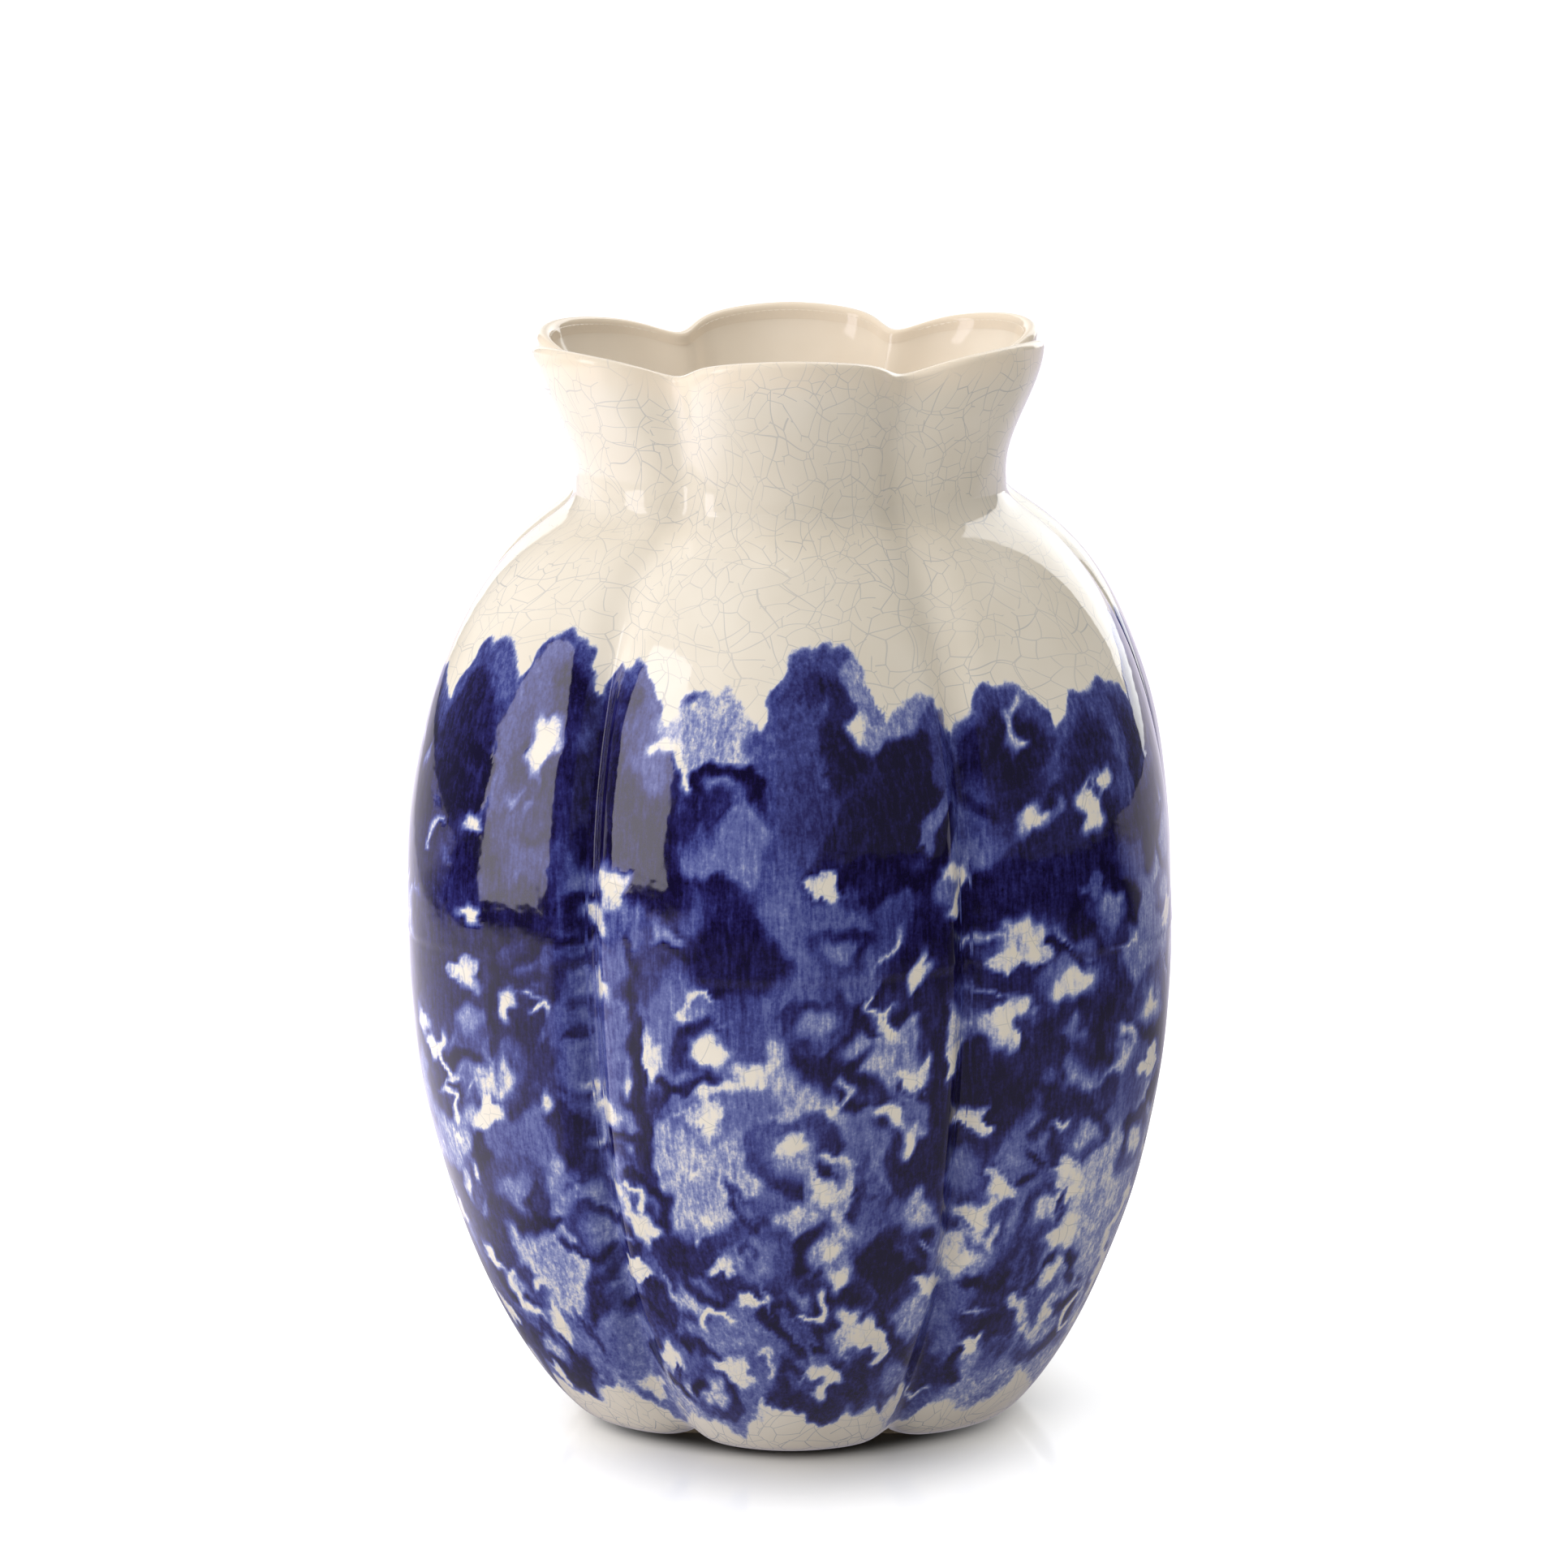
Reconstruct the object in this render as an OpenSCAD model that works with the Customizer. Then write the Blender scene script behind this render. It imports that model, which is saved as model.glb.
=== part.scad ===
// Six-lobed crackle-glazed pottery vase with a waisted neck and a scalloped rim.
// Millimetres. +Z is up, the origin is on the axis in the plane that the foot rests on,
// and the crest of one lobe faces -Y.

/* [Overall] */
// Height from the table to the top of the rim's scallops
vase_h = 280; // [250:5:300]
// Number of lobes round the vase
lobes = 6; // [5:1:8]

/* [Belly] */
// Largest radius, on the crest of a lobe
belly_r = 104; // [98:1:112]
// Height at which the belly is widest
belly_h = 132; // [120:1:145]
// Radius where the body turns under to the foot
foot_r = 54; // [48:1:58]
// How much of the radius a groove takes at the foot
foot_groove = 0.13; // [0.08:0.01:0.15]
// How much of the radius a groove takes at the belly
belly_groove = 0.12; // [0.08:0.01:0.14]

/* [Neck and rim] */
// Radius of the waist, on the crest of a lobe
waist_r = 57.5; // [54:0.5:62]
// Radius of the rim, on the crest of a lobe
rim_r = 69; // [66:0.5:76]
// How much of the radius a groove takes at the waist
waist_groove = 0.09; // [0.06:0.01:0.12]
// How much of the radius a groove takes at the rim
rim_groove = 0.16; // [0.10:0.01:0.18]
// How far the rim dips between two scallops
rim_dip = 5.5; // [2:0.5:8]
// How far the collar was turned when it was joined, in degrees
collar_turn = 3; // [0:1:5]

/* [Walls and coats] */
// Thickness of the clay wall
wall_t = 4.6; // [4:0.2:6]
// Thickness of the lip, glaze included
lip_t = 3.6; // [3:0.2:5]
// Thickness of a glaze coat
glaze_t = 0.4; // [0.3:0.1:0.6]
// Thickness of the cobalt coat
cobalt_t = 0.2; // [0.1:0.05:0.3]
// Height of the floor's upper side inside the vase
floor_top = 9; // [8:1:12]

/* [Foot] */
// Height of the bare foot ring
foot_ring_h = 2; // [1.5:0.5:3]
// Width of the bare foot ring
foot_ring_w = 7; // [5:1:10]
// How far the foot ring stands inside the edge of the floor slab
foot_ring_inset = 1; // [1:0.5:3]

/* [Hidden] */

// Facets round the vase, the same on every piece, so that neighbouring pieces share their facets.
// They crowd towards the grooves: these are shares of the way from a crest to a groove.
facet_shares = [0, 0.37, 0.67, 0.87, 1];
half_facets = len(facet_shares) - 1;
facets = lobes * half_facets * 2;

// Heights
body_low = 1;
pole_h = 0.859 * vase_h;
neck_start = 0.68 * vase_h;
turn_start = 0.79 * vase_h;
collar_seam = 0.86 * vase_h;
collar_low = 0.875 * vase_h;
rim_start = 0.9 * vase_h;
lip_h = vase_h - lip_t / 2;

// Shape of the belly's curve below and above its widest height
low_power = 0.73;
shoulder_power = 0.52;
shoulder_roundness = 2.42;
pole_r = 41;
waist_blend = 7;

// Rounding under the body, and the lift of its edge in the grooves
edge_round = 4;
edge_lift = 2.5;
lift_top = 8;

// Extra thickness where the inside wall turns into the floor
corner_fill = 11;
corner_top = 28;

// Steepest slope that a wall is thickened for
slope_limit = 2.2;

clay_colour = [0.86, 0.79, 0.68];
glaze_colour = [0.93, 0.89, 0.81];
lining_colour = [0.90, 0.84, 0.75];
cobalt_colour = [0.10, 0.12, 0.45];

function mix(a, b, t) = a + (b - a) * t;
function clamp(t) = max(0, min(1, t));
function ease(t) = clamp(t) * clamp(t) * (3 - 2 * clamp(t));

// Radius of the belly alone, on a crest
function belly_curve(z) =
    z < belly_h
        ? mix(foot_r, belly_r, pow(1 - pow(1 - max(z, 0) / belly_h, 2), low_power))
        : mix(pole_r, belly_r,
              pow(max(0, 1 - pow((z - belly_h) / (pole_h - belly_h), shoulder_roundness)),
                  shoulder_power));

// Radius of the collar alone, on a crest
function collar_curve(z) = mix(waist_r, rim_r, ease((z - collar_low) / (vase_h - collar_low)));

// Radius of the outside on a crest: the larger of the two, with the crease between them softened
function crest_radius(z) =
    let (b = belly_curve(z), c = collar_curve(z))
    z < belly_h ? b : (b + c + sqrt(pow(b - c, 2) + pow(waist_blend, 2))) / 2;

// Rounding of the body's lower edge
function edge_cut(z) =
    let (d = clamp((body_low + edge_round - z) / edge_round))
    edge_round * (1 - sqrt(1 - d * d));

// A value that goes from the foot's to the belly's, the waist's and the rim's as the height grows
function along_height(z, foot, belly, waist, rim) =
    belly
    + (foot - belly) * (1 - ease(z / 50))
    + (waist - belly) * ease((z - neck_start) / 45)
    + (rim - waist) * ease((z - collar_low) / 30);

// How much of the radius a groove takes at a height
function groove_share(z) = along_height(z, foot_groove, belly_groove, waist_groove, rim_groove);

// A groove is a gentle hollow between two lobes with a narrower crease along its bottom:
// the crease's share of the whole depth, and its width
function crease_share(z) = along_height(z, 0.5, 0.4, 0.45, 0.6);
function crease_width(z) = along_height(z, 0.35, 0.13, 0.3, 0.42);

// 0 on a crest and 1 in a groove
function groove_weight(z, angle) =
    let (out = pow(cos(lobes * angle / 2), 2))
    mix(1 - out, exp(-out / pow(crease_width(z), 2)), crease_share(z));

// Angle of one facet's edge, counted round from the front crest
function facet_angle(i) =
    let (
        lobe = floor(i / (2 * half_facets)),
        k = i % (2 * half_facets),
        share = k <= half_facets ? facet_shares[k] : 2 - facet_shares[2 * half_facets - k]
    )
    (lobe + share / 2) * 360 / lobes;

// How much longer the wall is than its height there
function slope_factor(z) =
    z > lip_h - 1
        ? 1
        : min(slope_limit, sqrt(1 + pow((crest_radius(z + 1) - crest_radius(z - 1)) / 2, 2)));

// Horizontal depth from the outside to the clay's inner side
function clay_depth(z) =
    let (thin = lip_t - glaze_t, thick = wall_t + glaze_t)
    mix(thin, thick, ease((lip_h - z) / 25)) * slope_factor(z)
    + corner_fill * pow(clamp((corner_top - z) / (corner_top - floor_top)), 2);

// Horizontal depth from the outside to the inner side of the lining
function lining_depth(z) = clay_depth(z) + glaze_t * slope_factor(z);

// One point of the vase, at an angle from the front crest. A station holds the point's height,
// its depth in from the outside, 1 where it belongs to the outside's raised lower edge, and
// the height whose outline it follows where that isn't its own.
function vase_point(station, angle) =
    let (
        z = station[0],
        outline_z = is_undef(station[3]) ? z : station[3],
        w = groove_weight(outline_z, angle),
        outside_r = crest_radius(outline_z) * (1 - groove_share(outline_z) * w) - edge_cut(outline_z),
        r = outside_r - station[1],
        turned = angle + collar_turn * ease((z - turn_start) / 20),
        lift = station[2] * edge_lift * clamp(1 - z / lift_top) * pow(w, 3),
        dip = rim_dip * clamp((z - rim_start) / (vase_h - rim_start)) * w
    )
    [r * sin(turned), -r * cos(turned), z + lift - dip];

// Heights that crowd together at both ends of a stretch
function eased_levels(low, high, steps) =
    [for (i = [0 : steps]) mix(low, high, (1 - cos(180 * i / steps)) / 2)];
function even_levels(low, high, steps) = [for (i = [0 : steps]) mix(low, high, i / steps)];
function reversed(list) = [for (i = [len(list) - 1 : -1 : 0]) list[i]];

outer_levels = eased_levels(body_low, collar_seam, 20);
inner_levels = eased_levels(floor_top, collar_seam, 14);
collar_levels = even_levels(collar_seam, lip_h, 8);
cobalt_levels = [for (i = [3 : 15]) outer_levels[i]];

// Stations along the outside, at one depth in from the outermost surface
function outside(levels, depth) = [for (z = levels) [z, depth, 1]];
// Stations along the clay's inner side, and along the lining's
function clay_inside(levels) = [for (z = levels) [z, clay_depth(z), 0]];
function lining_inside(levels) = [for (z = levels) [z, lining_depth(z), 0]];
// Stations over the rounded lip, from outside to inside, leaving a coat of the given thickness
function lip_over(coat, first, last) =
    [for (i = [first : last])
        let (t = 180 * i / 4, bend = lip_t / 2 - coat)
        [lip_h + bend * sin(t), lip_t / 2 - bend * cos(t), 1]];

// Facets between two rings of points. The diagonal runs the same way on the ground
// whether the rings are listed upwards or downwards, so touching pieces match.
function band_faces(lower, upper, falls) =
    [for (i = [0 : facets - 1])
        let (
            j = (i + 1) % facets,
            a = lower * facets + i,
            b = lower * facets + j,
            c = upper * facets + j,
            d = upper * facets + i
        )
        each (falls ? [[a, d, b], [b, d, c]] : [[a, d, c], [a, c, b]])];

function ring_points(stations) =
    [for (s = stations) for (i = [0 : facets - 1]) vase_point(s, facet_angle(i))];

function side_faces(stations, closed) =
    let (n = len(stations))
    [for (k = [0 : closed ? n - 1 : n - 2])
        let (m = (k + 1) % n)
        each band_faces(k, m, stations[k][0] > stations[m][0])];

// A solid that goes right round the vase, whose section is the closed chain of stations
module lobed_ring(stations) {
    polyhedron(points = ring_points(stations), faces = side_faces(stations, true));
}

// A solid whose first and last stations are closed by flat lobed faces
module lobed_cup(stations) {
    n = len(stations);
    under = [for (i = [0 : facets - 1]) i];
    over = [for (i = [0 : facets - 1]) (n - 1) * facets + facets - 1 - i];
    polyhedron(points = ring_points(stations),
               faces = concat(side_faces(stations, false), [under, over]));
}

// Flat lobed outline of the floor slab, where it meets the belly wall, shrunk by an inset
module floor_outline(inset = 0) {
    seam = clay_depth(floor_top) + inset;
    polygon([for (i = [0 : facets - 1])
        let (p = vase_point([floor_top, seam, 0], facet_angle(i))) [p[0], p[1]]]);
}

// Bare clay ring that the vase rests on
module foot_ring() {
    color(clay_colour)
    linear_extrude(height = foot_ring_h)
    difference() {
        floor_outline(foot_ring_inset);
        floor_outline(foot_ring_inset + foot_ring_w);
    }
}

// Clay slab that closes the bottom
module base_floor() {
    color(clay_colour)
    translate([0, 0, foot_ring_h])
    linear_extrude(height = floor_top - foot_ring_h)
    floor_outline();
}

// Glaze in the recess under the floor, inside the foot ring
module base_glaze() {
    color(glaze_colour)
    translate([0, 0, foot_ring_h - glaze_t])
    linear_extrude(height = glaze_t)
    floor_outline(foot_ring_inset + foot_ring_w);
}

// Lobed clay wall from the foot to the seam under the collar
module belly_wall() {
    color(clay_colour)
    lobed_ring(concat(
        outside(outer_levels, glaze_t),
        reversed(clay_inside(inner_levels)),
        [[foot_ring_h, clay_depth(floor_top), 0, floor_top]]
    ));
}

// Flared clay collar, joined to the belly at the seam
module neck_collar() {
    color(clay_colour)
    lobed_ring(concat(
        outside(collar_levels, glaze_t),
        lip_over(glaze_t, 1, 3),
        reversed(clay_inside(collar_levels))
    ));
}

// Cream crackle glaze over the outside of the belly
module belly_glaze() {
    color(glaze_colour)
    lobed_ring(concat(outside(outer_levels, 0), reversed(outside(outer_levels, glaze_t))));
}

// Cream crackle glaze over the outside of the collar and over the lip
module collar_glaze() {
    color(glaze_colour)
    lobed_ring(concat(
        outside(collar_levels, 0),
        lip_over(0, 1, 4),
        lip_over(glaze_t, 4, 4),
        reversed(lip_over(glaze_t, 1, 3)),
        reversed(outside(collar_levels, glaze_t))
    ));
}

// Plain cream lining of the inside, from the lip down over the floor
module inner_glaze() {
    upper = [for (i = [1 : len(collar_levels) - 1]) collar_levels[i]];
    lower = [for (i = [1 : len(inner_levels) - 1]) inner_levels[i]];
    color(lining_colour)
    lobed_cup(concat(
        clay_inside(inner_levels),
        clay_inside(upper),
        reversed(lining_inside(upper)),
        reversed(lining_inside(lower)),
        [[floor_top + glaze_t, lining_depth(floor_top + glaze_t), 0]]
    ));
}

// Cobalt coat dabbed on the belly, above the foot and below the shoulder
module cobalt_decoration() {
    color(cobalt_colour)
    lobed_ring(concat(outside(cobalt_levels, -cobalt_t), reversed(outside(cobalt_levels, 0))));
}

foot_ring();
base_floor();
base_glaze();
belly_wall();
neck_collar();
belly_glaze();
collar_glaze();
inner_glaze();
cobalt_decoration();
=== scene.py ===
"""Six-lobed pottery vase: cream crackle glaze, dabbed cobalt band, plain lining, bare clay foot.

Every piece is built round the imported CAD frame. The vase's lengths are millimetres of a vase 280 high,
and `unit` turns them into metres of the vase that the frame holds. The camera, the table and the lights
are placed in metres. Angles are degrees round the vase from the front crest (-Y), positive to the right.
"""
import math

import bpy
import numpy as np
from mathutils import Matrix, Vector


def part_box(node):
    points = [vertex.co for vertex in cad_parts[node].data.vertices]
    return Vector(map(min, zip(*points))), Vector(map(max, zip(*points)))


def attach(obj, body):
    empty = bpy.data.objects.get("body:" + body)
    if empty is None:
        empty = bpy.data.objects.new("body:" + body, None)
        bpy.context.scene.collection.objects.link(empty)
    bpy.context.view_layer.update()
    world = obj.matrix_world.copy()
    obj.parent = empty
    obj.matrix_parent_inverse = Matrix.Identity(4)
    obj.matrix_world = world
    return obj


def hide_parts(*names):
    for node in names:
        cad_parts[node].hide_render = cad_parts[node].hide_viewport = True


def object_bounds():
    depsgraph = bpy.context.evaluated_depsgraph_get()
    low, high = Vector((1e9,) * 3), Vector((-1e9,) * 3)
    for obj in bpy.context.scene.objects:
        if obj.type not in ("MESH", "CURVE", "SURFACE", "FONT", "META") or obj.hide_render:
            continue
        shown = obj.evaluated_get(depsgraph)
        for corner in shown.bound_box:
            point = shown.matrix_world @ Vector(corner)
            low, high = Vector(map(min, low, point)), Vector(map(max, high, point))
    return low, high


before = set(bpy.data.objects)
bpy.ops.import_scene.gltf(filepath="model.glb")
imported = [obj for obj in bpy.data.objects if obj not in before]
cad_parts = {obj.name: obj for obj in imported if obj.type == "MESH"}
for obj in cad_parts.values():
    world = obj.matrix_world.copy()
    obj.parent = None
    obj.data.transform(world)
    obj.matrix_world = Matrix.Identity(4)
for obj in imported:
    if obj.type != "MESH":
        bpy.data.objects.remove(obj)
cad_low, cad_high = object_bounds()

# ---------------------------------------------------------------- sizes from the frame

HEIGHT = 280.0
unit = (cad_high[2] - cad_low[2]) / HEIGHT


def millimetres(node, corner, axis):
    """One coordinate of a CAD node's box, in the vase's own millimetres."""
    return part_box(node)[corner][axis] / unit


BELLY_R = -millimetres("belly_glaze", 0, 1)
SEAM_H = millimetres("belly_wall", 1, 2)
BODY_LOW = millimetres("belly_wall", 0, 2)
FOOT_H = millimetres("foot_ring", 1, 2)
FLOOR_TOP = millimetres("base_floor", 1, 2)

# Radii end in _R and heights in _H. The belly's outline runs up to its widest height, then over towards
# a pole inside the collar, and blends into the collar at the waist.

LOBES = 6
LOBE_ANGLE = 360 / LOBES
BELLY_H = 132
FOOT_R = 54
WAIST_R = 57.5
RIM_R = 69
POLE_R, POLE_H = 41, 240.5
LOW_CURVE, LOW_FULLNESS = 2, 0.73
HIGH_CURVE, HIGH_FULLNESS = 2.42, 0.52
WAIST_BLEND = 7
NECK_START = 190.4
TURN_START, COLLAR_TURN = 221.2, 3
COLLAR_LOW = 245
RIM_START, RIM_DIP = 252, 5.5
WALL, LIP, GLAZE = 4.6, 3.6, 0.4
WALL_GROWS, LIP_ZONE, STEEPEST = 25, 8, 2.2
UNEVEN_OUT = 0.25
LIP_H = HEIGHT - LIP / 2
EDGE_ROUND, EDGE_LIFT, LIFT_TOP = 4, 2.5, 8
CORNER_FILL, CORNER_TOP = 11, 28

# ---------------------------------------------------------------- the vase's shape


def mix(a, b, t):
    return a + (b - a) * t


def clamp(t):
    return np.clip(t, 0, 1)


def ease(t):
    t = clamp(t)
    return t * t * (3 - 2 * t)


def crest_radius(z):
    """Outside radius on the crest of a lobe, at a height."""
    z = np.asarray(z, float)
    low = mix(FOOT_R, BELLY_R, (1 - (1 - clamp(z / BELLY_H)) ** LOW_CURVE) ** LOW_FULLNESS)
    rise = clamp((z - BELLY_H) / (POLE_H - BELLY_H))
    high = mix(POLE_R, BELLY_R, (1 - rise ** HIGH_CURVE) ** HIGH_FULLNESS)
    belly = np.where(z < BELLY_H, low, high)
    collar = mix(WAIST_R, RIM_R, ease((z - COLLAR_LOW) / (HEIGHT - COLLAR_LOW)))
    joined = (belly + collar + np.sqrt((belly - collar) ** 2 + WAIST_BLEND ** 2)) / 2
    return np.where(z < BELLY_H, belly, joined)


def edge_cut(z):
    """Rounding of the body's lower edge."""
    d = clamp((BODY_LOW + EDGE_ROUND - z) / EDGE_ROUND)
    return EDGE_ROUND * (1 - np.sqrt(1 - d * d))


def along_height(z, foot, belly, waist, rim):
    """A value that changes from the foot to the belly, the waist and the rim."""
    return (belly + (foot - belly) * (1 - ease(z / 50)) + (waist - belly) * ease((z - NECK_START) / 45)
            + (rim - waist) * ease((z - COLLAR_LOW) / 30))


def groove_share(z):
    """How much of the radius a groove takes."""
    return along_height(z, 0.13, 0.12, 0.09, 0.16)


def groove_weight(z, angle):
    """0 on a crest, 1 in a groove: a gentle hollow with a narrower crease along its bottom."""
    out = np.cos(np.radians(LOBES * angle / 2)) ** 2
    crease = np.exp(-out / along_height(z, 0.35, 0.13, 0.3, 0.42) ** 2)
    return mix(1 - out, crease, along_height(z, 0.5, 0.4, 0.45, 0.6))


def slope_factor(z):
    """How much deeper a leaning wall is level than square to itself; 1 at the lip."""
    slope = (crest_radius(z + 1) - crest_radius(z - 1)) / 2
    return mix(1, np.minimum(STEEPEST, np.sqrt(1 + slope ** 2)), ease((LIP_H - z) / LIP_ZONE))


def clay_depth(z):
    """Horizontal depth from the outside to the clay's inner side."""
    wall = mix(LIP - GLAZE, WALL + GLAZE, ease((LIP_H - z) / WALL_GROWS)) * slope_factor(z)
    return wall + CORNER_FILL * clamp((CORNER_TOP - z) / (CORNER_TOP - FLOOR_TOP)) ** 2


def lining_depth(z):
    return clay_depth(z) + GLAZE * slope_factor(z)


def throwing_marks(z, angle):
    """Small unevenness of a hand-finished surface, in millimetres of radius."""
    a = np.radians(angle)
    return (
        0.10 * np.sin(z / 9 + 2 * np.sin(a) + 1.3 * np.cos(2 * a))
        + 0.12 * np.sin(z / 23 + 3 * a)
        + 0.10 * np.sin(z / 14 - 5 * a + 1)
        + 0.06 * np.sin(z / 5.5 + 7 * a)
    ) * ease(z / 20)


def surface(z, angle, depth=0.0, lifted=1.0, uneven=1.0):
    """Points in metres at a depth inside the outer surface. Heights, angles and depths broadcast together."""
    z, angle = np.broadcast_arrays(np.asarray(z, float), np.asarray(angle, float))
    w = groove_weight(z, angle)
    r = crest_radius(z) * (1 - groove_share(z) * w) - edge_cut(z) - depth
    r = r + uneven * (throwing_marks(z, angle) - UNEVEN_OUT)
    turned = np.radians(angle + COLLAR_TURN * ease((z - TURN_START) / 20))
    lift = lifted * EDGE_LIFT * clamp(1 - z / LIFT_TOP) * w ** 3
    dip = RIM_DIP * clamp((z - RIM_START) / (HEIGHT - RIM_START)) * w
    points = np.stack([r * np.sin(turned), -r * np.cos(turned), z + lift - dip], axis=-1)
    return points * unit


def heights_by_length(low, high, steps):
    """Heights that divide the crest's curve into stretches of equal length."""
    z = np.linspace(low, high, 4000)
    r = crest_radius(z) - edge_cut(z)
    length = np.concatenate([[0], np.cumsum(np.hypot(np.diff(z), np.diff(r)))])
    return np.interp(np.linspace(0, length[-1], steps + 1), length, z)


# ---------------------------------------------------------------- the cobalt painting
#
# The layout is made up here, in the manner of dabbed ware: presses of a brush laid over one another,
# each darker where its colour pools. Ink is 0 on bare glaze and 1 where it is nearly black.

SKIN = 1.6  # millimetres to a degree, round the belly
ROUND = 360 * SKIN
LOW_INK, HIGH_INK, TOP_INK = 0.5, 0.66, 0.62
ARCH_DROP, LOWEST_TOP = 17, 178
PAINT_SEED = 11


def blot(random, u, low, high, size, tall, rim, middle, feather, uneven, lean=0.5, crescent=False):
    """A press of the brush somewhere between two heights.

    Pairs of numbers are ranges: of the half width, how much taller it is than wide, the ink at its rim and in
    its middle, and how softly it ends. A crescent is only the pooled side of its rim.
    """
    return {
        "u": u, "z": random.uniform(low, high), "size": random.uniform(*size),
        "tall": random.uniform(*tall), "rim": random.uniform(*rim), "middle": random.uniform(*middle),
        "feather": random.uniform(*feather), "uneven": uneven, "lean": random.uniform(-lean, lean),
        "start": random.uniform(0, 2 * math.pi), "crescent": crescent,
    }


def around(random, count):
    """Places round the belly, about evenly spread."""
    step = ROUND / count
    return [(i + random.uniform(0.1, 0.9)) * step for i in range(count)]


def pools_and_washes(random):
    """The first coat: dark pools among pale washes, with more pools high up."""
    for z in range(16, 200, 15):
        high = ease((z - 110) / 40)
        for u in around(random, 24):
            dark = random.uniform() < mix(0.42, 0.8, high)
            ink = random.uniform(0.84, 1.0) if dark else random.uniform(0.28, 0.56)
            yield blot(random, u, z - 8, z + 8, size=(7, 13), tall=(0.9, 1.9), rim=(ink - 0.1, ink),
                       middle=(ink, ink), feather=(2, 6), uneven=0.16)


def ringed_dabs(random):
    """Dabs whose colour has run to the rim."""
    for z in range(26, 150, 19):
        for u in around(random, 18):
            if random.uniform() < 0.75:
                yield blot(random, u, z - 7, z + 7, size=(7, 12), tall=(0.7, 1.1), rim=(0.8, 0.98),
                           middle=(0.05, 0.45), feather=(1.5, 3.5), uneven=0.12)


def dark_crescents(random):
    for z in range(28, 190, 15):
        for u in around(random, 12):
            yield blot(random, u, z - 7, z + 7, size=(7, 11), tall=(0.7, 1.2), rim=(0.9, 1),
                       middle=(0.9, 1), feather=(1.2, 2.6), uneven=0.08, crescent=True)


def bare_places(random):
    """Spots and crescents that the brush left nearly bare, more of them low down."""
    for z in range(20, 196, 12):
        low = 1 - ease((z - 90) / 60)
        for u in around(random, int(mix(6, 18, low))):
            yield blot(random, u, z - 6, z + 6, size=(1.5, 5), tall=(0.7, 2.2), rim=(0.05, 0.4),
                       middle=(0, 0.1), feather=(0.8, 2.6), uneven=0.22, lean=1.2)
        for u in around(random, int(mix(4, 9, low))):
            yield blot(random, u, z - 6, z + 6, size=(4, 9), tall=(0.7, 1.3), rim=(0.02, 0.35),
                       middle=(0, 0.1), feather=(0.8, 2.4), uneven=0.1, crescent=True)


def small_strokes(random):
    for z in range(24, 190, 14):
        for u in around(random, 12):
            yield blot(random, u, z - 6, z + 6, size=(1.2, 3.4), tall=(1.2, 3), rim=(0.5, 0.95),
                       middle=(0.4, 0.9), feather=(1, 2.4), uneven=0.25, lean=1.2)


def drips(random):
    for u in around(random, 9):
        yield blot(random, u, 105, 150, size=(1.6, 2.4), tall=(10, 15), rim=(0.9, 0.95),
                   middle=(0.95, 0.98), feather=(1, 1.5), uneven=0.1, lean=0.05)


def pale_veins(random):
    for u in around(random, 50):
        yield blot(random, u, 25, 140, size=(0.45, 0.75), tall=(6, 13), rim=(0.2, 0.4),
                   middle=(0.15, 0.3), feather=(0.6, 1), uneven=0.1, lean=1.5)


def plan_painting(random):
    """All the presses, in the order in which they are laid over one another."""
    coats = [pools_and_washes, ringed_dabs, dark_crescents, bare_places, small_strokes, drips, pale_veins]
    return [mark for coat in coats for mark in coat(random)]


def plan_arches(random):
    """Round tops of the dabs along the upper edge: place, half width and height of each."""
    arches = []
    u = 0.0
    while u < ROUND - 8:
        half = random.uniform(12, 22)
        arches.append((u + half * 0.85, half, random.uniform(196, 214)))
        u += half * 1.7
    return arches


def gap(u, place):
    """Distance round the belly from a place, the short way."""
    return (u - place + ROUND / 2) % ROUND - ROUND / 2


def lay(ink, u, z, mark):
    """Lays one press over the painting so far."""
    reach = 1.7 * mark["size"] * max(1, mark["tall"])
    near = (np.abs(gap(u, mark["u"])) < reach) & (np.abs(z - mark["z"]) < reach)
    if not near.any():
        return
    across, up = gap(u[near], mark["u"]), z[near] - mark["z"]
    c, s = math.cos(mark["lean"]), math.sin(mark["lean"])
    x = (across * c + up * s) / mark["size"]
    y = (up * c - across * s) / (mark["size"] * mark["tall"])
    way = np.arctan2(y, x)
    wobble = np.sin(3 * way + mark["start"]) + 0.6 * np.sin(5 * way - 2 * mark["start"])
    out = np.hypot(x, y) / (1 + mark["uneven"] * wobble)
    pooled = ease((out - 0.3) / 0.45) * (0.75 + 0.25 * np.cos(way - mark["start"]))
    cover = ease((1 - out) * mark["size"] / mark["feather"] + 0.5)
    if mark["crescent"]:
        cover *= ease((out - 0.5) / 0.3) * ease(np.cos(way - mark["start"]) / 0.6 + 0.3)
    ink[near] = mix(ink[near], mix(mark["middle"], mark["rim"], pooled), cover)


def upper_edge(u):
    """Height of the painting's scalloped upper edge."""
    tops = [peak - ARCH_DROP * np.abs(gap(u, place) / half) ** 2.6 for place, half, peak in ARCHES]
    ragged = 1.2 * np.sin(u / 1.9) * np.sin(u / 5.3 + 1)
    return np.maximum(np.max(tops, axis=0), LOWEST_TOP) + ragged


def lower_edge(u):
    """Height of the painting's ragged lower edge."""
    turn = 2 * math.pi * u / ROUND
    return 12 + 3 * np.sin(7 * turn + 1) + 3 * np.sin(19 * turn + 2) + np.sin(41 * turn)


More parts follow.
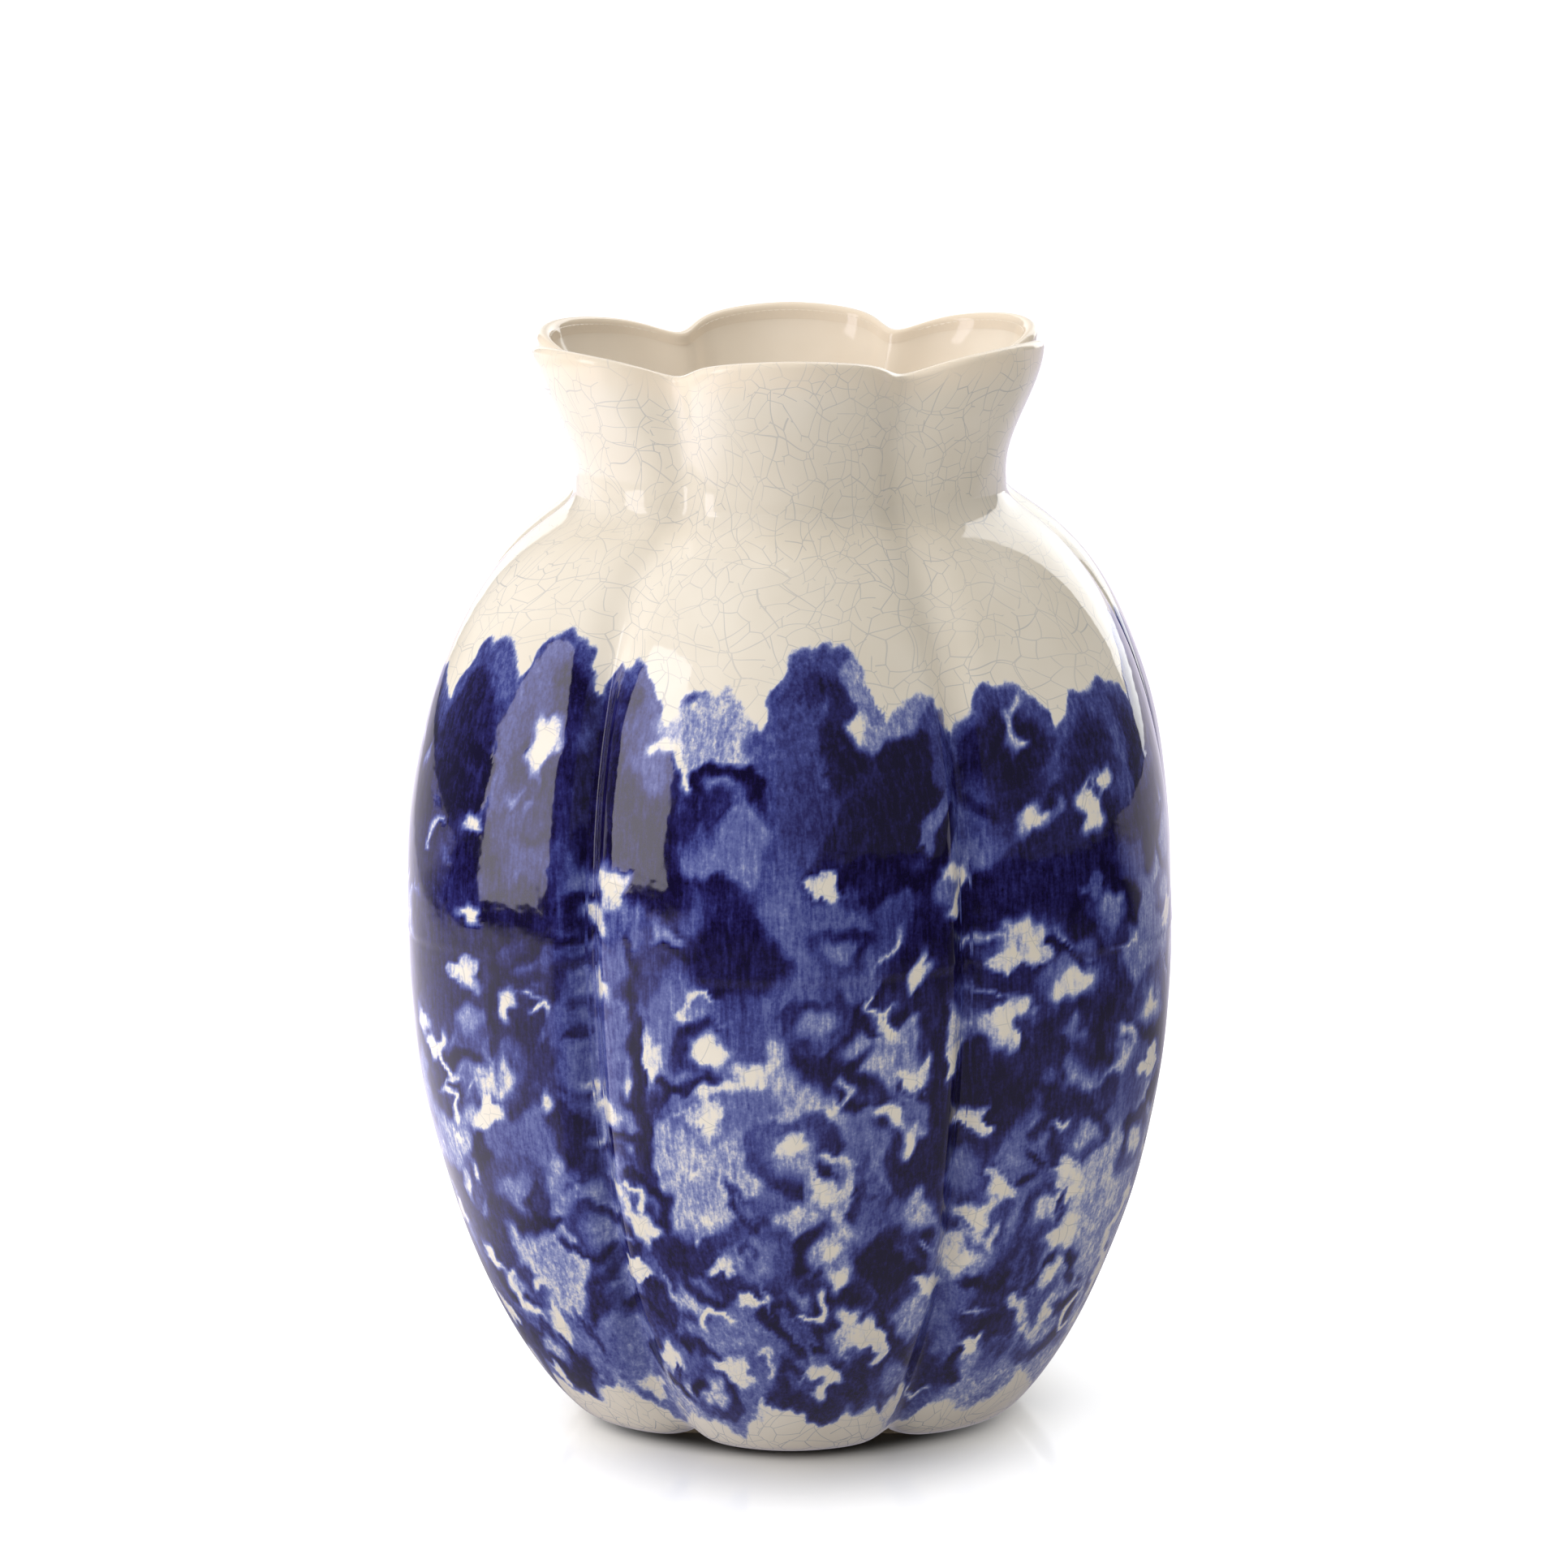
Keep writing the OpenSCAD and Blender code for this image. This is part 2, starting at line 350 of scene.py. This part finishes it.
def painting(angle, z):
    """Ink at angles in degrees and heights in millimetres. The small waves in u and v fray every edge."""
    u = angle * SKIN % ROUND + 0.6 * np.sin(z / 2.1 + angle / 2.5) + 0.4 * np.sin(z / 1.1 - angle + 1)
    v = z + 0.6 * np.sin(angle * 0.9 + z / 3.4 + 2) + 0.4 * np.sin(angle * 2 - z / 1.7)
    ink = mix(LOW_INK, HIGH_INK, ease((z - 80) / 60))
    ink = ink + 0.1 * np.sin(z / 9 + angle / 6) * np.sin(angle / 4 - z / 14)
    for mark in MARKS:
        lay(ink, u, v, mark)
    edge = upper_edge(u)
    ink = mix(ink, np.minimum(ink, TOP_INK), ease((v - edge + 9) / 7))
    return ink * ease((edge - v + 1.3) / 2.6) * ease((v - lower_edge(u) + 1.5) / 3)


MARKS = plan_painting(np.random.default_rng(PAINT_SEED))
ARCHES = plan_arches(np.random.default_rng(PAINT_SEED + 1))

# ---------------------------------------------------------------- mesh helpers


def add_mesh(name, points, faces, smooth=True):
    mesh = bpy.data.meshes.new(name)
    mesh.from_pydata(points.tolist(), [], faces)
    mesh.update()
    if smooth:
        mesh.polygons.foreach_set("use_smooth", [True] * len(mesh.polygons))
    piece = bpy.data.objects.new(name, mesh)
    bpy.context.scene.collection.objects.link(piece)
    return piece


def grid_faces(rows, columns, first=0, flip=False, wrap=False):
    """Quads of a grid of points stored row by row, facing outwards when rows run up the outside."""
    faces = []
    for r in range(rows - 1):
        for c in range(columns if wrap else columns - 1):
            d = (c + 1) % columns
            quad = [first + r * columns + c, first + r * columns + d,
                    first + (r + 1) * columns + d, first + (r + 1) * columns + c]
            faces.append(quad[::-1] if flip else quad)
    return faces


def grid_border(rows, columns, first):
    """Indices round the edge of a grid."""
    bottom = list(range(columns - 1))
    right = [r * columns + columns - 1 for r in range(rows - 1)]
    top = [(rows - 1) * columns + c for c in range(columns - 1, 0, -1)]
    left = [r * columns for r in range(rows - 1, 0, -1)]
    return [first + i for i in bottom + right + top + left]


def stitch(fine, coarse, step):
    """Triangles between a fine closed chain and a coarse one that skips `step` points at a time."""
    faces = []
    total = len(fine)
    for k, here in enumerate(coarse):
        following = coarse[(k + 1) % len(coarse)]
        half = k * step + step // 2
        for j in range(k * step, (k + 1) * step):
            corner = here if j < half else following
            faces.append([fine[j % total], corner, fine[(j + 1) % total]])
        faces.append([fine[half % total], here, following])
    return faces


def closing_faces(rows, segments):
    """Quads from the last ring of a wrapped grid back to its first."""
    last = (rows - 1) * segments
    return [[last + c, last + (c + 1) % segments, (c + 1) % segments, c] for c in range(segments)]


def ring_solid(name, stations, segments, cap=False):
    """A solid of stacked six-lobed rings. Its last ring joins the first, or a cap closes each of the two."""
    rings = [surface(z, np.arange(segments) * 360 / segments, depth, lifted)
             for z, depth, lifted in stations]
    rows = len(rings)
    points = np.concatenate(rings)
    faces = grid_faces(rows, segments, wrap=True)
    if cap:
        faces.append(list(range(segments))[::-1])
        faces.append([(rows - 1) * segments + i for i in range(segments)])
    else:
        faces += closing_faces(rows, segments)
    return add_mesh(name, points, faces)


def finish_piece(piece, material, slot, *nodes):
    """Gives a piece its material and its body, and hides the CAD nodes that it stands for."""
    piece.data.materials.clear()
    piece.data.materials.append(material)
    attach(piece, "root")
    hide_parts(*nodes)


# ---------------------------------------------------------------- camera


def add_camera():
    """Looks down a little at the front lobe, which sits slightly left of the line of sight."""
    distance, high, swing = 1.711, 0.4737, math.radians(2.75)
    camera = bpy.data.objects.new("camera", bpy.data.cameras.new("camera"))
    bpy.context.scene.collection.objects.link(camera)
    bpy.context.scene.camera = camera
    camera.data.sensor_width = 36
    camera.data.lens = 155.5
    camera.data.shift_x = -0.0054
    camera.data.clip_end = 50
    camera.location = (distance * math.sin(swing), -distance * math.cos(swing), high)
    pitch, roll = math.radians(90 - 10.29), math.radians(-0.6)
    camera.rotation_mode = "XYZ"
    turn = Matrix.Rotation(swing, 4, "Z") @ Matrix.Rotation(pitch, 4, "X") @ Matrix.Rotation(roll, 4, "Z")
    camera.matrix_world = Matrix.Translation(camera.location) @ turn


add_camera()

# ---------------------------------------------------------------- materials


class Nodes:
    """Short calls for building a node tree."""

    def __init__(self, tree):
        self.tree = tree

    def add(self, kind, **settings):
        node = self.tree.nodes.new(kind)
        for key, value in settings.items():
            setattr(node, key, value)
        return node

    def put(self, socket, value):
        if hasattr(value, "is_output"):
            self.tree.links.new(value, socket)
        else:
            socket.default_value = value

    def math(self, operation, a, b, limit=False):
        node = self.add("ShaderNodeMath", operation=operation, use_clamp=limit)
        self.put(node.inputs[0], a)
        self.put(node.inputs[1], b)
        return node.outputs[0]

    def plus(self, a, b):
        return self.math("ADD", a, b)

    def times(self, a, b):
        return self.math("MULTIPLY", a, b)

    def vector(self, operation, a, b):
        node = self.add("ShaderNodeVectorMath", operation=operation)
        self.put(node.inputs[0], a)
        self.put(node.inputs[1], b)
        return node.outputs[0]

    def length(self, a):
        node = self.add("ShaderNodeVectorMath", operation="LENGTH")
        self.put(node.inputs[0], a)
        return node.outputs["Value"]

    def parts(self, a):
        node = self.add("ShaderNodeSeparateXYZ")
        self.put(node.inputs[0], a)
        return list(node.outputs)

    def mix(self, factor, a, b):
        node = self.add("ShaderNodeMix", data_type="RGBA")
        self.put(node.inputs[0], factor)
        self.put(node.inputs[6], a)
        self.put(node.inputs[7], b)
        return node.outputs[2]

    def range(self, value, low, high, to_low=0.0, to_high=1.0, smooth=False):
        node = self.add("ShaderNodeMapRange", clamp=True)
        node.interpolation_type = "SMOOTHSTEP" if smooth else "LINEAR"
        for socket, v in zip(node.inputs, (value, low, high, to_low, to_high)):
            self.put(socket, v)
        return node.outputs[0]

    def noise(self, where, scale, detail, rough=0.5):
        node = self.add("ShaderNodeTexNoise", noise_dimensions="3D")
        self.put(node.inputs["Vector"], where)
        self.put(node.inputs["Scale"], scale)
        self.put(node.inputs["Detail"], detail)
        self.put(node.inputs["Roughness"], rough)
        return node.outputs[0]

    def voronoi(self, where, feature, cell):
        node = self.add("ShaderNodeTexVoronoi", voronoi_dimensions="2D", feature=feature)
        self.put(node.inputs["Vector"], where)
        self.put(node.inputs["Randomness"], 0.8)
        self.put(node.inputs["Scale"], 1 / cell)
        return node

    def attribute(self, name, output):
        return self.add("ShaderNodeAttribute", attribute_name=name).outputs[output]

    def ramp(self, factor, stops):
        node = self.add("ShaderNodeValToRGB")
        ramp = node.color_ramp
        while len(ramp.elements) < len(stops):
            ramp.elements.new(0.5)
        for element, (place, colour) in zip(ramp.elements, stops):
            element.position = place
            element.color = (*colour, 1)
        self.put(node.inputs[0], factor)
        return node.outputs[0]


def srgb(red, green, blue):
    """A display colour from 0 to 255 as linear light."""
    return tuple((c / 255 / 12.92) if c < 11 else ((c / 255 + 0.055) / 1.055) ** 2.4
                 for c in (red, green, blue))


def new_material(name, roughness):
    material = bpy.data.materials.new(name)
    material.use_nodes = True
    nodes = Nodes(material.node_tree)
    shader = material.node_tree.nodes["Principled BSDF"]
    shader.inputs["Roughness"].default_value = roughness
    return material, nodes, shader


def crackle(n):
    """1 on a crack of the glaze, 0 between them: long cracks first, short ones that end on them."""
    skin = n.attribute("skin", "Vector")
    wander = n.add("ShaderNodeTexNoise", noise_dimensions="2D")
    n.put(wander.inputs["Vector"], skin)
    n.put(wander.inputs["Scale"], 0.035)
    n.put(wander.inputs["Detail"], 1.0)
    sway = n.vector("SUBTRACT", wander.outputs["Color"], (0.5, 0.5, 0.5))
    bent = n.vector("ADD", skin, n.vector("MULTIPLY", sway, (16, 16, 0)))
    patch = n.voronoi(bent, "F1", 13).outputs["Color"]
    shifted = n.vector("ADD", bent, n.vector("MULTIPLY", patch, (400, 400, 0)))
    lines = []
    for place, cell, width in ((bent, 11, 0.07), (shifted, 6, 0.06)):
        distance = n.times(n.voronoi(place, "DISTANCE_TO_EDGE", cell).outputs["Distance"], cell)
        lines.append(n.range(distance, width, width * 2.6, 1, 0, smooth=True))
    return n.math("MAXIMUM", lines[0], lines[1])


def millimetre_coordinates(n):
    place = n.add("ShaderNodeTexCoord").outputs["Object"]
    return n.vector("MULTIPLY", place, (1 / unit,) * 3)


def cloudy(n, where, light, deep):
    """A glaze colour that varies a little from place to place."""
    return n.mix(n.range(n.noise(where, 0.03, 3), 0.35, 0.65), (*srgb(*light), 1), (*srgb(*deep), 1))


def cream_colour(n, where):
    """Warm cream with fine grey cracks, darker at the foot, turning tan where it runs thin at the lip."""
    high, lip = n.parts(n.attribute("skin", "Vector"))[1:]
    patchy = n.range(n.noise(where, 0.08, 3), 0.3, 0.7, 0.5, 0.95)
    thin = n.math("MULTIPLY", lip, patchy, limit=True)
    cream = n.mix(thin, cloudy(n, where, (236, 227, 211), (228, 218, 200)), (*srgb(238, 222, 199), 1))
    uneven = n.range(n.noise(where, 0.05, 2), 0.3, 0.7, 0.22, 0.5)
    stained = n.math("MAXIMUM", uneven, n.range(high, 6, 26, 0.8, 0.2))
    strength = n.times(stained, n.range(thin, 0.4, 0.9, 1, 0.05))
    return n.mix(n.times(crackle(n), strength), cream, (*srgb(150, 155, 165), 1))


def add_relief(n, shader, height, distance):
    relief = n.add("ShaderNodeBump")
    relief.inputs["Distance"].default_value = distance
    n.put(relief.inputs["Height"], height)
    n.put(shader.inputs["Normal"], relief.outputs[0])


# Cobalt's colours, from the thinnest wash to the deepest pool, each at its strength of ink.
COBALT = [
    (0.10, srgb(198, 202, 220)), (0.25, srgb(154, 161, 196)), (0.42, srgb(102, 110, 164)),
    (0.60, srgb(64, 70, 134)), (0.78, srgb(38, 36, 94)), (0.92, srgb(23, 17, 62)), (1.0, srgb(15, 9, 44)),
]


def painted_glaze():
    """Cream crackle glaze with the cobalt under it, as strong as the painting says."""
    material, n, shader = new_material("crackle_glaze", 0.06)
    where = millimetre_coordinates(n)
    ink = n.attribute("ink", "Fac")
    streaks = n.noise(n.vector("MULTIPLY", where, (1, 1, 0.16)), 0.9, 4, 0.6)
    blots = n.noise(where, 0.35, 3, 0.6)
    grain = n.noise(where, 1.3, 3, 0.6)
    wobble = n.times(n.math("SUBTRACT", streaks, 0.5), 0.55)
    for texture in (blots, grain):
        wobble = n.plus(wobble, n.times(n.math("SUBTRACT", texture, 0.5), 0.30))
    strong = n.plus(ink, n.times(wobble, n.range(ink, 0.0, 0.12)))
    cover = n.range(strong, 0.04, 0.34, smooth=True)
    n.put(shader.inputs["Base Color"], n.mix(cover, cream_colour(n, where), n.ramp(strong, COBALT)))
    add_relief(n, shader, n.plus(n.noise(where, 0.12, 2), n.times(ink, 0.6)), 0.00012)
    return material


def lining_glaze():
    material, n, shader = new_material("lining_glaze", 0.12)
    where = millimetre_coordinates(n)
    n.put(shader.inputs["Base Color"], cloudy(n, where, (246, 233, 213), (240, 225, 203)))
    return material


def bare_clay():
    material, n, shader = new_material("bare_clay", 0.85)
    grain = n.noise(millimetre_coordinates(n), 1.2, 4)
    light, deep = (*srgb(214, 196, 168), 1), (*srgb(190, 168, 138), 1)
    n.put(shader.inputs["Base Color"], n.mix(grain, light, deep))
    add_relief(n, shader, grain, 0.0002)
    return material


glaze = painted_glaze()
lining = lining_glaze()
clay = bare_clay()

# ---------------------------------------------------------------- the glaze, one piece to a lobe

COLUMNS, STEP = 121, 4
OUTSIDE_ROWS, LIP_ROWS = 300, 12
USUAL_R = 80
TAN_START, TAN_GROWS = 268, 10


def glaze_rows():
    """Height and depth of every row, up the outside and over the lip: the coat's face, then its underside."""
    z = heights_by_length(BODY_LOW, LIP_H, OUTSIDE_ROWS)
    over = np.pi * np.arange(1, LIP_ROWS + 1) / LIP_ROWS
    half, overlap = LIP / 2, 0.06
    inner = LIP_H - np.array([0.6, 1.2, 1.8, 2.4])
    outside = 0 * z
    outer = (np.concatenate([z, LIP_H + half * np.sin(over), inner]),
             np.concatenate([outside, half - half * np.cos(over), lining_depth(inner) + overlap]))
    bend = half - GLAZE
    under = (np.concatenate([z, LIP_H + bend * np.sin(over), inner]),
             np.concatenate([outside + GLAZE, half - bend * np.cos(over), clay_depth(inner)]))
    return outer, under


def outside_normals(z, angles, depth):
    """Normals from the shape itself, so that two lobes shade alike where they meet."""
    little = 0.05

    def turned(by):
        return surface(z[:, None], angles[None, :] + by, depth[:, None])

    normals = np.cross(turned(little) - turned(-little), np.gradient(turned(0), axis=0))
    return normals / np.linalg.norm(normals, axis=2, keepdims=True)


def skin_place(z, depth, angles):
    """Millimetres round the skin, at its usual radius, and up it; then 0 low, 1 at the lip, 2 inside it."""
    radius = crest_radius(np.minimum(z, LIP_H)) - depth
    up = np.concatenate([[0], np.cumsum(np.hypot(np.diff(radius), np.diff(z)))])
    across, high = np.meshgrid(np.radians(angles) * USUAL_R, up)
    lip = np.where(depth > LIP / 2, 2, ease((z - TAN_START) / TAN_GROWS))[:, None] + 0 * high
    return np.stack([across, high, lip], axis=-1).reshape(-1, 3)


def flat_grid(rows, columns, low, high):
    """Texture places of a grid, over the full width between two heights."""
    across, up = np.meshgrid(np.linspace(0.002, 0.998, columns), np.linspace(low, high, rows))
    return np.stack([across, up], axis=-1).reshape(-1, 2)


def add_texture_places(mesh, places, grid_corners):
    """Spreads the two grids over the texture and puts the hidden edges in one spot of it."""
    corners = np.zeros(len(mesh.loops), int)
    mesh.loops.foreach_get("vertex_index", corners)
    spots = places[corners]
    spots[grid_corners:] = 0.999
    mesh.uv_layers.new(name="OFBake").data.foreach_set("uv", spots.ravel())


def add_glaze_lobe(index):
    """A closed coat over one lobe, from the foot to just inside the lip; its underside is coarser."""
    (z, depth), (under_z, under_depth) = glaze_rows()
    few_z, few_depth = under_z[::STEP], under_depth[::STEP]
    turns = index if index < 4 else index - LOBES  # the last two lie to the left, at negative angles
    angles = (turns - 0.5) * LOBE_ANGLE + np.linspace(0, LOBE_ANGLE, COLUMNS)
    few_angles = angles[::STEP]
    rows, few_rows, few_columns = len(z), len(few_z), len(few_angles)
    outer = surface(z[:, None], angles[None, :], depth[:, None])
    under = surface(few_z[:, None], few_angles[None, :], few_depth[:, None])
    first = rows * COLUMNS
    faces = grid_faces(rows, COLUMNS)
    faces += grid_faces(few_rows, few_columns, first, flip=True)
    faces += stitch(grid_border(rows, COLUMNS, 0), grid_border(few_rows, few_columns, first), STEP)
    points = np.concatenate([outer.reshape(-1, 3), under.reshape(-1, 3)])
    piece = add_mesh(f"glaze_lobe_{index + 1}", points, faces)
    mesh = piece.data

    normals = outside_normals(z, angles, depth)
    under_normals = -normals[::STEP, ::STEP]
    mesh.normals_split_custom_set_from_vertices(
        np.concatenate([normals.reshape(-1, 3), under_normals.reshape(-1, 3)]))

    grid_corners = 4 * ((rows - 1) * (COLUMNS - 1) + (few_rows - 1) * (few_columns - 1))
    places = [flat_grid(rows, COLUMNS, 0.002, 0.9), flat_grid(few_rows, few_columns, 0.92, 0.99)]
    add_texture_places(mesh, np.concatenate(places), grid_corners)

    painted_height = np.where(depth > 0.1, HEIGHT, z)
    ink = painting(*np.broadcast_arrays(angles[None, :], painted_height[:, None]))
    ink = np.concatenate([ink.ravel(), ink[::STEP, ::STEP].ravel()])
    mesh.attributes.new("ink", "FLOAT", "POINT").data.foreach_set("value", ink)
    skin = np.concatenate([skin_place(z, depth, angles), skin_place(few_z, depth[::STEP], few_angles)])
    mesh.attributes.new("skin", "FLOAT_VECTOR", "POINT").data.foreach_set("vector", skin.ravel())
    return piece


for index in range(LOBES):
    lobe = add_glaze_lobe(index)
    finish_piece(lobe, glaze, "cream_glaze", "belly_glaze", "collar_glaze", "cobalt_decoration")

# ---------------------------------------------------------------- clay and lining


def stations_of(levels, depths, lifted):
    """Rings for ring_solid at some heights; `lifted` is 1 where the lower edge rises at the grooves."""
    return [(z, d, lifted) for z, d in zip(levels, depths)]


def add_belly_clay():
    outer = heights_by_length(BODY_LOW, SEAM_H, 60)
    inner = heights_by_length(FLOOR_TOP, SEAM_H, 50)[::-1]
    stations = stations_of(outer, 0 * outer + GLAZE, 1) + stations_of(inner, clay_depth(inner), 0)
    return ring_solid("clay_belly", stations, 360)


def add_collar_clay():
    levels = np.linspace(SEAM_H, LIP_H, 16)
    over = np.pi * np.arange(1, 6) / 6
    bend = LIP / 2 - GLAZE
    stations = (stations_of(levels, 0 * levels + GLAZE, 1)
                + stations_of(LIP_H + bend * np.sin(over), LIP / 2 - bend * np.cos(over), 1)
                + stations_of(levels[::-1], clay_depth(levels[::-1]), 0))
    return ring_solid("clay_collar", stations, 360)


def add_lining():
    outer = np.concatenate([heights_by_length(FLOOR_TOP, SEAM_H, 60), np.linspace(SEAM_H, LIP_H, 24)[1:]])
    inner = outer[::-1].copy()
    inner[-1] = FLOOR_TOP + GLAZE
    stations = stations_of(outer, clay_depth(outer), 0) + stations_of(inner, lining_depth(inner), 0)
    return ring_solid("lining", stations, 240, cap=True)


def add_foot_ring():
    """Bare ring with softened corners; its flat underside carries the vase."""
    outline = clay_depth(FLOOR_TOP) + 1
    width, corner = 7, 0.5
    section = [(0, width - corner), (0, corner), (corner, 0), (FOOT_H - 0.01, 0),
               (FOOT_H - 0.01, width), (corner, width)]
    segments = 240
    angles = np.arange(segments) * 360 / segments
    rings = []
    for high, inset in section:
        ring = surface(FLOOR_TOP + 0 * angles, angles, outline + inset, 0, uneven=0)
        ring[:, 2] = high * unit
        rings.append(ring)
    points = np.concatenate(rings)
    faces = grid_faces(len(section), segments, wrap=True) + closing_faces(len(section), segments)
    return add_mesh("foot_ring_clay", points, faces, smooth=False)


finish_piece(add_belly_clay(), clay, "bare_clay", "belly_wall")
finish_piece(add_collar_clay(), clay, "bare_clay", "neck_collar")
finish_piece(add_lining(), lining, "lining_glaze", "inner_glaze")
finish_piece(add_foot_ring(), clay, "bare_clay", "foot_ring")
for node, material in (("base_floor", clay), ("base_glaze", lining)):
    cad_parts[node].data.materials.clear()
    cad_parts[node].data.materials.append(material)

# ---------------------------------------------------------------- floor and light


def bright_side(n, x, y):
    """How brightly the table is lit on the vase's left, as its glaze and its matt parts see it."""
    beside = n.times(n.range(x, -0.05, -0.2, smooth=True), n.range(x, -1.0, -0.7, smooth=True))
    return n.times(beside, n.range(n.math("ARCTAN2", x, y), -2.5, -1.9, 0.0, 1.4, smooth=True))


def add_floor():
    """White table. Its colour is darkened round the foot, a painted contact shadow, and the camera sees it
    plain white away from the foot, where a painted glow whitens its cast shadow; the glaze mirrors it uneven.
    """
    material = bpy.data.materials.new("floor_white")
    material.use_nodes = True
    n = Nodes(material.node_tree)
    path = n.add("ShaderNodeLightPath")
    place = n.add("ShaderNodeTexCoord").outputs["Object"]
    x, y = n.parts(place)[:2]
    away = n.length(place)
    bright_left = bright_side(n, x, y)

    seen = material.node_tree.nodes["Principled BSDF"]
    seen.inputs["Roughness"].default_value = 0.12
    seen.inputs["Specular IOR Level"].default_value = 0.15
    seen.inputs["Emission Color"].default_value = (1, 1, 1, 1)
    # Painted contact shadow: the table's colour goes nearly black right round the foot.
    past_painted_shadow = n.range(away, 0.046, 0.06, smooth=True)
    n.put(seen.inputs["Base Color"], n.mix(past_painted_shadow, (0.12, 0.12, 0.12, 1), (0.85, 0.85, 0.85, 1)))
    # Painted glow: for the camera the table glows, more strongly away from the foot, which whitens the vase's
    # cast shadow there.
    painted_camera_glow = n.range(n.length(n.vector("MULTIPLY", place, (1.5, 1, 0))), 0.055, 0.12, 0.0, 0.5, smooth=True)
    n.put(seen.inputs["Emission Strength"],
          n.plus(n.times(painted_camera_glow, path.outputs["Is Camera Ray"]),
                 n.times(n.times(bright_left, 0.7), path.outputs["Is Diffuse Ray"])))

    mirrored = n.add("ShaderNodeEmission")
    mirrored.inputs["Color"].default_value = (1, 0.94, 1.1, 1)
    near = n.range(away, 0.25, 1.0, 0.36, 0.04)
    far_end = n.range(y, 0.1, 0.6, 0.0, 0.9)
    n.put(mirrored.inputs["Strength"], n.math("MAXIMUM", bright_left, n.math("MAXIMUM", near, far_end)))

    either = n.add("ShaderNodeMixShader")
    n.put(either.inputs[0], path.outputs["Is Glossy Ray"])
    n.put(either.inputs[1], seen.outputs[0])
    n.put(either.inputs[2], mirrored.outputs[0])
    n.put(material.node_tree.nodes["Material Output"].inputs["Surface"], either.outputs[0])
    reach = 12
    corners = [(-reach, -reach, 0), (reach, -reach, 0), (reach, reach, 0), (-reach, reach, 0)]
    floor = add_mesh("floor", np.array(corners, float), [[0, 1, 2, 3]], smooth=False)
    floor.data.materials.append(material)


def add_panel(name, azimuth, distance, low, high, width, radiance, colour):
    """A soft light panel that faces the vase. Azimuth is from the front, positive to the right."""
    light = bpy.data.lights.new(name, "AREA")
    light.shape = "RECTANGLE"
    light.size, light.size_y = width, high - low
    light.energy = radiance * math.pi * width * (high - low)
    light.color = colour
    piece = bpy.data.objects.new(name, light)
    a = math.radians(azimuth)
    piece.location = (distance * math.sin(a), -distance * math.cos(a), (low + high) / 2)
    piece.rotation_euler = (math.radians(90), 0, a)
    piece.visible_camera = False
    bpy.context.scene.collection.objects.link(piece)


def add_world():
    """A white room to the camera and a soft gradient, brightest left and above, to the matt parts. The glaze
    mirrors a dark room with a white screen behind the vase, from a little left of it to the right."""
    world = bpy.data.worlds.new("studio")
    bpy.context.scene.world = world
    world.use_nodes = True
    n = Nodes(world.node_tree)
    path = n.add("ShaderNodeLightPath")
    matt = path.outputs["Is Diffuse Ray"]
    x, y, z = n.parts(n.add("ShaderNodeTexCoord").outputs["Generated"])
    soft = n.plus(n.plus(0.70, n.times(x, -0.6)), n.plus(n.times(y, -0.10), n.times(z, 0.37)))

    from_back = n.math("ARCTAN2", x, y)
    left_end = n.range(from_back, -0.45, -0.42, smooth=True)
    right_end = n.range(from_back, 0.72, 0.75, 1, 0, smooth=True)
    glow = n.math("MAXIMUM", n.range(from_back, 0.0, 0.45, 0.95, 3.0, smooth=True),
                  n.range(from_back, -0.1, -0.4, 0.95, 1.5, smooth=True))
    screen = n.times(n.times(left_end, right_end), glow)
    dim_left = n.range(from_back, -2.2, -1.2, 0.05, 0.2, smooth=True)
    mirrored = n.math("MAXIMUM", dim_left, screen)

    strength = n.plus(n.times(matt, soft), n.times(n.math("SUBTRACT", 1, matt), mirrored))
    background = world.node_tree.nodes["Background"]
    background.inputs["Color"].default_value = (1, 1, 1, 1)
    n.put(background.inputs["Strength"], n.math("MAXIMUM", strength, path.outputs["Is Camera Ray"]))


add_floor()
add_world()
add_panel("softbox_left", azimuth=-66, distance=1.6, low=0.0, high=1.4, width=0.46, radiance=3.4,
          colour=(0.97, 0.92, 1))
bpy.context.scene.view_settings.view_transform = "Standard"
